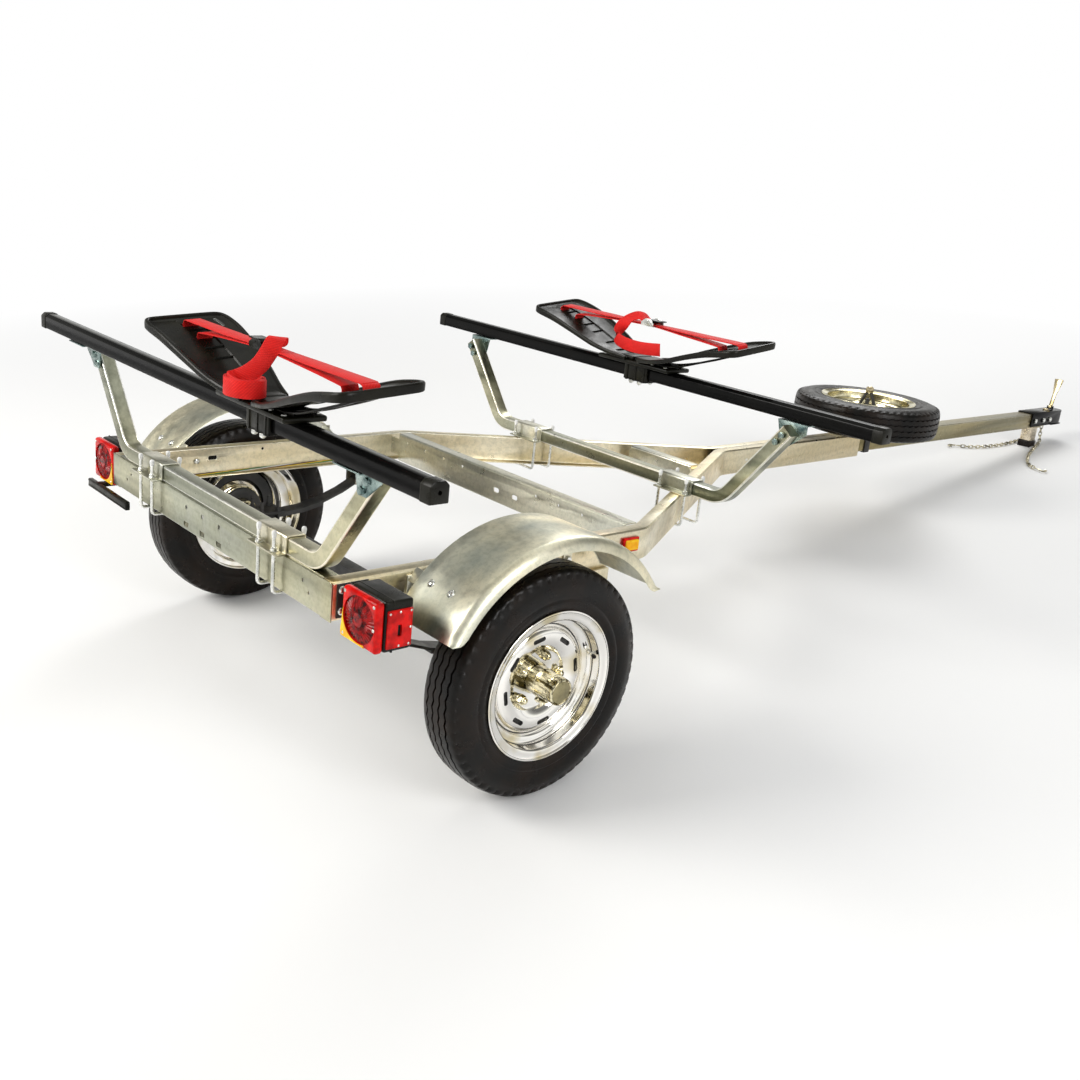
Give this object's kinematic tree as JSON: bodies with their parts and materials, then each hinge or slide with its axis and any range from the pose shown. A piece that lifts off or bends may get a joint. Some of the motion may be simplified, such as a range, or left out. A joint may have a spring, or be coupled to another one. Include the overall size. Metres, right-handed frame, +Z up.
{
  "type": "kayak trailer",
  "caption": "Small road trailer for paddle craft: channel frame on leaf springs, long tongue with ball coupler, raised load bars with strapped saddles, fenders, lamps and spare wheel.",
  "frame": {"origin": "on the ground, under the middle of the box round everything but the two safety chains", "axes": "+Z up, +Y forward to the coupler along the ground, +X to the trailer's right; the trailer's frame leans nose down by 5.5 degrees onto its tongue stand"},
  "size_m": [1.77, 4.3432, 1.0088],
  "materials": {
    "axle": "black paint",
    "chain_hook_left": "galvanised or zinc plated",
    "chain_hook_right": "galvanised or zinc plated",
    "coupler": "black paint",
    "coupler_jaw": "galvanised or zinc plated",
    "coupler_lever": "galvanised or zinc plated",
    "fender_left": "galvanised or zinc plated",
    "fender_right": "galvanised or zinc plated",
    "front_bar_bracket_left": "galvanised or zinc plated",
    "front_bar_bracket_right": "galvanised or zinc plated",
    "front_buckle": "galvanised or zinc plated",
    "front_buckle_lever": "galvanised or zinc plated",
    "front_clamp_left": "galvanised or zinc plated",
    "front_clamp_right": "galvanised or zinc plated",
    "front_crossmember": "galvanised or zinc plated",
    "front_load_bar": "black paint",
    "front_saddle_base": "moulded, textured",
    "front_strap": "red polyester webbing",
    "front_support": "galvanised or zinc plated",
    "front_wing_left": "moulded, textured",
    "front_wing_right": "moulded, textured",
    "hub_left": "bright cap and nuts",
    "hub_right": "bright cap and nuts",
    "leaf_spring_left": "black paint",
    "leaf_spring_right": "black paint",
    "middle_crossmember": "galvanised or zinc plated",
    "rail_left": "galvanised or zinc plated",
    "rail_right": "galvanised or zinc plated",
    "rear_bar_bracket_left": "galvanised or zinc plated",
    "rear_bar_bracket_right": "galvanised or zinc plated",
    "rear_buckle": "galvanised or zinc plated",
    "rear_buckle_lever": "galvanised or zinc plated",
    "rear_clamp_left": "galvanised or zinc plated",
    "rear_clamp_right": "galvanised or zinc plated",
    "rear_crossmember": "galvanised or zinc plated",
    "rear_load_bar": "black paint",
    "rear_saddle_base": "moulded, textured",
    "rear_strap": "red polyester webbing",
    "rear_support": "galvanised or zinc plated",
    "rear_wing_left": "moulded, textured",
    "rear_wing_right": "moulded, textured",
    "rim_left": "polished, zinc bright",
    "rim_right": "polished, zinc bright",
    "safety_chain_left": "galvanised or zinc plated",
    "safety_chain_right": "galvanised or zinc plated",
    "side_marker_left": "clear coloured lens",
    "side_marker_right": "clear coloured lens",
    "spare_carrier": "galvanised or zinc plated",
    "spare_rim": "polished, zinc bright",
    "spare_tyre": "black rubber",
    "stand_foot": "black",
    "stand_leg": "galvanised or zinc plated",
    "tail_lamp_left": "black housing",
    "tail_lamp_right": "black housing",
    "tail_lens_left": "clear coloured lens",
    "tail_lens_right": "clear coloured lens",
    "tongue": "galvanised or zinc plated",
    "tyre_left": "black rubber",
    "tyre_right": "black rubber",
    "wiring": "insulated wire"
  },
  "bodies": {
    "chassis": {"chain_hook_left": "chain_hook_left", "chain_hook_right": "chain_hook_right", "coupler": "coupler", "fender_left": "fender_left", "fender_right": "fender_right", "front_bar_bracket_left": "front_bar_bracket_left", "front_bar_bracket_right": "front_bar_bracket_right", "front_buckle": "front_buckle", "front_clamp_left": "front_clamp_left", "front_clamp_right": "front_clamp_right", "front_crossmember": "front_crossmember", "front_load_bar": "front_load_bar", "front_saddle_base": "front_saddle_base", "front_strap": "front_strap", "front_support": "front_support", "front_wing_left": "front_wing_left", "front_wing_right": "front_wing_right", "middle_crossmember": "middle_crossmember", "rail_left": "rail_left", "rail_right": "rail_right", "rear_bar_bracket_left": "rear_bar_bracket_left", "rear_bar_bracket_right": "rear_bar_bracket_right", "rear_buckle": "rear_buckle", "rear_clamp_left": "rear_clamp_left", "rear_clamp_right": "rear_clamp_right", "rear_crossmember": "rear_crossmember", "rear_load_bar": "rear_load_bar", "rear_saddle_base": "rear_saddle_base", "rear_strap": "rear_strap", "rear_support": "rear_support", "rear_wing_left": "rear_wing_left", "rear_wing_right": "rear_wing_right", "safety_chain_left": "safety_chain_left", "safety_chain_right": "safety_chain_right", "side_marker_left": "side_marker_left", "side_marker_right": "side_marker_right", "spare_carrier": "spare_carrier", "spare_rim": "spare_rim", "spare_tyre": "spare_tyre", "stand_foot": "stand_foot", "stand_leg": "stand_leg", "tail_lamp_left": "tail_lamp_left", "tail_lamp_right": "tail_lamp_right", "tail_lens_left": "tail_lens_left", "tail_lens_right": "tail_lens_right", "tongue": "tongue", "wiring": "wiring"},
    "axle": {"axle": "axle", "leaf_spring_left": "leaf_spring_left", "leaf_spring_right": "leaf_spring_right"},
    "left_wheel": {"tyre_left": "tyre_left", "rim_left": "rim_left", "hub_left": "hub_left"},
    "right_wheel": {"tyre_right": "tyre_right", "rim_right": "rim_right", "hub_right": "hub_right"},
    "coupler_lever": {"coupler_lever": "coupler_lever"},
    "coupler_jaw": {"coupler_jaw": "coupler_jaw"},
    "rear_buckle_lever": {"rear_buckle_lever": "rear_buckle_lever"},
    "front_buckle_lever": {"front_buckle_lever": "front_buckle_lever"}
  },
  "joints": [
    {"name": "axle_spring", "type": "slide", "parent": "chassis", "child": "axle", "axis": [0, 0.0963, 0.9954], "range_m": [-0.03, 0.05], "stiffness_N_per_m": 105000, "springref_m": -0.00607, "deforming": ["leaf_spring_left", "leaf_spring_right"]},
    {"name": "left_wheel_spin", "type": "hinge", "parent": "axle", "child": "left_wheel", "pos_m": [-0.669, -1.67385, 0.265], "axis": [1, 0, 0], "continuous": true},
    {"name": "right_wheel_spin", "type": "hinge", "parent": "axle", "child": "right_wheel", "pos_m": [0.669, -1.67385, 0.265], "axis": [1, 0, 0], "continuous": true},
    {"name": "coupler_lever_fold", "type": "hinge", "parent": "chassis", "child": "coupler_lever", "pos_m": [0, 2.09792, 0.15333], "axis": [1, 0, 0], "range_deg": [0, 100]},
    {"name": "coupler_jaw_slide", "type": "slide", "parent": "chassis", "child": "coupler_jaw", "axis": [0, 0.9954, -0.0963], "range_m": [0, 0.008]},
    {"name": "rear_buckle_cam", "type": "hinge", "parent": "chassis", "child": "rear_buckle_lever", "pos_m": [0.3, -2.07291, 0.97954], "axis": [0, 0.9954, -0.0963], "range_deg": [0, 55], "stiffness_Nm_per_rad": 0.05, "springref_deg": -34.38},
    {"name": "front_buckle_cam", "type": "hinge", "parent": "chassis", "child": "front_buckle_lever", "pos_m": [0.085, -0.73814, 0.85043], "axis": [0, -0.9954, 0.0963], "range_deg": [0, 55], "stiffness_Nm_per_rad": 0.05, "springref_deg": -34.38}
  ],
  "couplings": [
    {"joint": "coupler_jaw_slide", "follows": "coupler_lever_fold", "m_per_rad": 0.004526}
  ]
}
